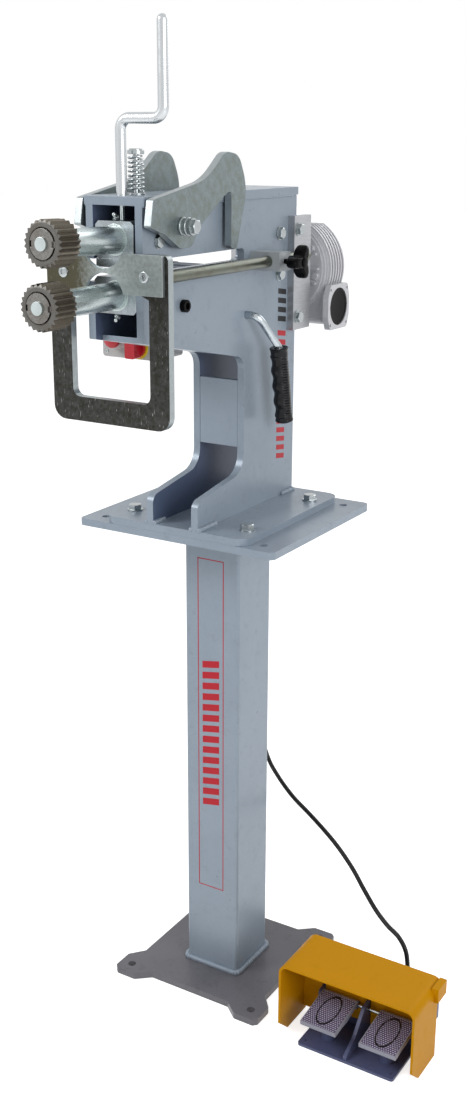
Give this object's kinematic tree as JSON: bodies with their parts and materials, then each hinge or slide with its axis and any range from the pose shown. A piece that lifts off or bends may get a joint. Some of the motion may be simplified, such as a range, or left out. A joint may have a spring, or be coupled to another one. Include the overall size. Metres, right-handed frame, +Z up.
{
  "type": "motor-driven swaging and jennying machine on a pedestal",
  "caption": "Motor-driven swaging and jennying machine for sheet metal, on a column pedestal, with a twin foot switch standing beside it on its cable.",
  "frame": {"origin": "on the floor at the centre of the four floor holes of the pedestal", "axes": "+Z up; the rolls and the feed crank face -Y; the lever, the guide rod and the foot switch are on the +X side; the motor is on the -X side"},
  "size_m": [0.736, 0.771, 1.5912],
  "materials": {
    "silver_paint": "semi-gloss",
    "bright_zinc": "bright zinc plating",
    "dull_zinc": "dull zinc plating",
    "ground_steel": "ground",
    "dark_steel": "oiled, bare",
    "cast_alloy": "as cast",
    "bare_alloy": "milled",
    "motor_grey": "matt",
    "box_grey": "moulded",
    "red_plastic": "moulded",
    "black_plastic": "moulded",
    "grip_rubber": "moulded",
    "cable_sheath": "smooth",
    "yellow_paint": "semi-gloss",
    "pedal_grey": "matt",
    "treadle_alloy": "hatched"
  },
  "bodies": {
    "frame": {"foot_plate": "silver_paint", "column_tube": "silver_paint", "pedestal_top_plate": "silver_paint", "weld_beads": "silver_paint", "machine_base_plate": "silver_paint", "near_side_plate": "silver_paint", "far_side_plate": "silver_paint", "web_plate": "silver_paint", "belly_plate": "silver_paint", "bridge_plate": "silver_paint", "hex_bolts": "bright_zinc", "trunnion_bolts": "bright_zinc", "lower_front_block": "ground_steel", "lower_rear_block": "ground_steel", "lower_bushes": "ground_steel", "lower_nipple": "bright_zinc", "rod_bracket": "silver_paint", "swing_pivots": "bright_zinc", "mounting_bars": "bare_alloy", "adapter_plate": "silver_paint", "gearcase": "cast_alloy", "gearcase_cover": "cast_alloy", "motor": "motor_grey", "control_box": "box_grey", "pedal_base": "pedal_grey", "pedal_housing": "pedal_grey", "pedal_hood": "yellow_paint", "treadle_pin": "bright_zinc", "cable_glands": "black_plastic", "cable": "cable_sheath", "lift_spring": "bright_zinc"},
    "lower_spindle": {"lower_shaft": "ground_steel", "lower_roll": "dark_steel", "lower_roll_nut": "dark_steel", "lower_gear": "dark_steel"},
    "rocker": {"upper_front_block": "ground_steel", "upper_rear_block": "ground_steel", "upper_bushes": "ground_steel", "upper_nipple": "bright_zinc", "lift_bolt": "bright_zinc"},
    "upper_spindle": {"upper_shaft": "ground_steel", "upper_roll": "dark_steel", "upper_roll_nut": "dark_steel", "upper_gear": "dark_steel"},
    "feed_pin": {"thrust_pin": "ground_steel"},
    "crank": {"crank_screw": "bright_zinc"},
    "gauge": {"gauge_plate": "dull_zinc", "gauge_frame": "dull_zinc", "gauge_screws": "bright_zinc", "guide_rod": "dull_zinc"},
    "clamp": {"clamp_knob": "black_plastic"},
    "near_swing": {"near_swing_plate": "dull_zinc"},
    "far_swing": {"far_swing_plate": "dull_zinc"},
    "hand_lever": {"lever": "bright_zinc", "lever_grip": "grip_rubber"},
    "isolator": {"isolator_knob": "red_plastic"},
    "stop": {"stop_button": "red_plastic"},
    "left_foot": {"left_treadle": "treadle_alloy"},
    "right_foot": {"right_treadle": "treadle_alloy"}
  },
  "joints": [
    {"name": "lower_spindle_spin", "type": "hinge", "parent": "frame", "child": "lower_spindle", "pos_m": [0, -0.3, 1.232], "axis": [0, 1, 0], "continuous": true},
    {"name": "upper_tilt", "type": "hinge", "parent": "frame", "child": "rocker", "pos_m": [0, 0.075, 1.2952], "axis": [1, 0, 0], "range_deg": [-0.34, 1.8], "deforming": ["lift_spring"]},
    {"name": "upper_spindle_spin", "type": "hinge", "parent": "rocker", "child": "upper_spindle", "pos_m": [0, 0.075, 1.2952], "axis": [0, 0.9995, -0.0305], "continuous": true},
    {"name": "crank_feed", "type": "slide", "parent": "frame", "child": "feed_pin", "axis": [0, 0, 1], "range_m": [-0.01102, 0.00202]},
    {"name": "crank_turn", "type": "hinge", "parent": "feed_pin", "child": "crank", "pos_m": [0, -0.277, 1.3522], "axis": [0, 0, 1], "range_deg": [-1980, 360]},
    {"name": "gauge_slide", "type": "slide", "parent": "frame", "child": "gauge", "axis": [0, 1, 0], "range_m": [-0.075, 0.018]},
    {"name": "clamp_turn", "type": "hinge", "parent": "frame", "child": "clamp", "pos_m": [0.12, 0.002, 1.26], "axis": [1, 0, 0], "continuous": true},
    {"name": "near_plate_swing", "type": "hinge", "parent": "frame", "child": "near_swing", "pos_m": [0.0585, -0.226, 1.3232], "axis": [1, 0, 0], "range_deg": [-50, 0]},
    {"name": "far_plate_swing", "type": "hinge", "parent": "frame", "child": "far_swing", "pos_m": [-0.0585, -0.226, 1.3232], "axis": [1, 0, 0], "range_deg": [-50, 0]},
    {"name": "lever_turn", "type": "hinge", "parent": "frame", "child": "hand_lever", "pos_m": [0, -0.025, 1.179], "axis": [1, 0, 0], "range_deg": [-30, 20]},
    {"name": "isolator_turn", "type": "hinge", "parent": "frame", "child": "isolator", "pos_m": [-0.082, -0.13, 1.132], "axis": [0, 1, 0], "range_deg": [0, 90]},
    {"name": "stop_press", "type": "slide", "parent": "frame", "child": "stop", "axis": [0, 1, 0], "range_m": [0, 0.0037], "stiffness_N_per_m": 900},
    {"name": "left_treadle_press", "type": "hinge", "parent": "frame", "child": "left_foot", "pos_m": [0.2675, -0.069, 0.054], "axis": [1, 0, 0], "range_deg": [0, 8], "stiffness_Nm_per_rad": 12, "springref_deg": -2.86},
    {"name": "right_treadle_press", "type": "hinge", "parent": "frame", "child": "right_foot", "pos_m": [0.3745, -0.069, 0.054], "axis": [1, 0, 0], "range_deg": [0, 8], "stiffness_Nm_per_rad": 12, "springref_deg": -2.86}
  ],
  "couplings": [
    {"joint": "upper_spindle_spin", "follows": "lower_spindle_spin", "ratio": -1},
    {"joint": "crank_feed", "follows": "crank_turn", "m_per_rad": 0.00031831},
    {"joint": "upper_tilt", "follows": "crank_turn", "ratio": -0.00090429}
  ]
}
